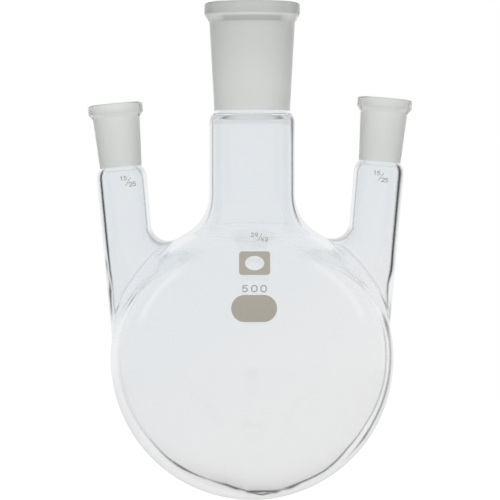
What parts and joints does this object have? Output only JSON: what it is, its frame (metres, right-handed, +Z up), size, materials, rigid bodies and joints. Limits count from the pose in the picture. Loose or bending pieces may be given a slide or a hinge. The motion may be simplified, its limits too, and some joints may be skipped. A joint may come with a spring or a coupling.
{
  "type": "three neck flask",
  "caption": "Round bottom laboratory flask with a wide upright neck between two narrow leaning necks, each ending in a beaded, tapered ground glass socket.",
  "frame": {"origin": "the bulb's lowest point, on the axis of the centre neck", "axes": "+Z up along the centre neck, -Y towards the front that carries the marking spot, +X towards the right neck as seen from the front"},
  "size_m": [0.1221, 0.1064, 0.1871],
  "materials": {
    "glass": "polished",
    "enamel": "matte"
  },
  "bodies": {
    "root": {"flask": "glass", "marking_spot": "enamel"}
  },
  "joints": []
}
